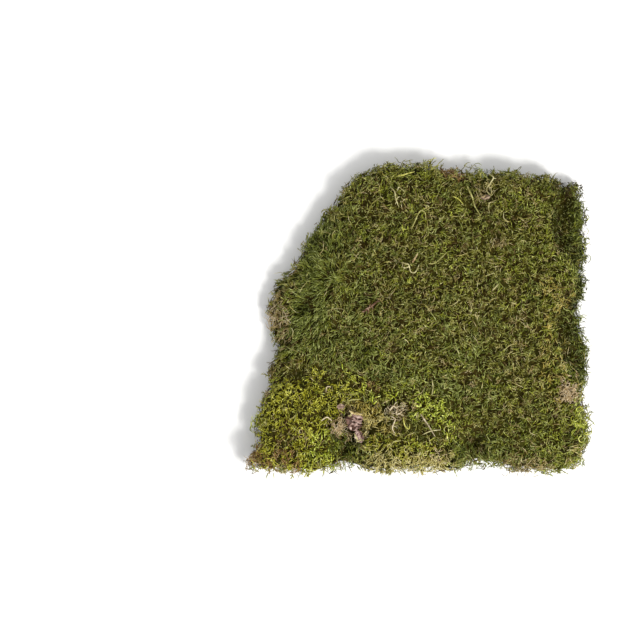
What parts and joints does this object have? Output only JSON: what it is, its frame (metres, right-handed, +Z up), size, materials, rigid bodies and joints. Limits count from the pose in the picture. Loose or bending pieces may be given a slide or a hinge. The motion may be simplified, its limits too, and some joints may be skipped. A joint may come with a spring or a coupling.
{
  "type": "moss clump",
  "caption": "Thick ragged clump of cut sheet moss, olive with a yellow-green lobe, with straws, twigs and dead leaf scraps caught in it, flat underneath.",
  "frame": {"origin": "middle of the clump's box, on the flat underside", "axes": "+Z up from the cut underside to the shoot tips; +X to the viewer's right and +Y away from a viewer who stands at the edge with the yellow-green lobe and looks down"},
  "size_m": [0.3603, 0.3276, 0.0464],
  "materials": {
    "moss": "matte",
    "straw": "satin",
    "twig": "matte",
    "leaf": "matte"
  },
  "bodies": {
    "root": {"moss_mat": "moss", "leaf_curled": "leaf", "leaf_folded": "leaf", "leaf_scrap": "leaf", "leaf_tan": "leaf", "root_arc": "straw", "root_knot": "straw", "sheath_red": "twig", "stem_arched": "straw", "stem_bent": "straw", "stem_curly": "straw", "stem_hook": "straw", "stem_pale": "straw", "straw_arc": "straw", "straw_cream": "straw", "straw_crossing": "straw", "straw_hooked": "straw", "straw_ledge": "straw", "straw_long": "straw", "straw_looped": "straw", "straw_low": "straw", "straw_middle": "straw", "straw_short": "straw", "straw_top": "straw", "straw_upright": "straw", "straw_yellow": "straw", "twig_grey": "twig", "twig_red": "twig"}
  },
  "joints": []
}
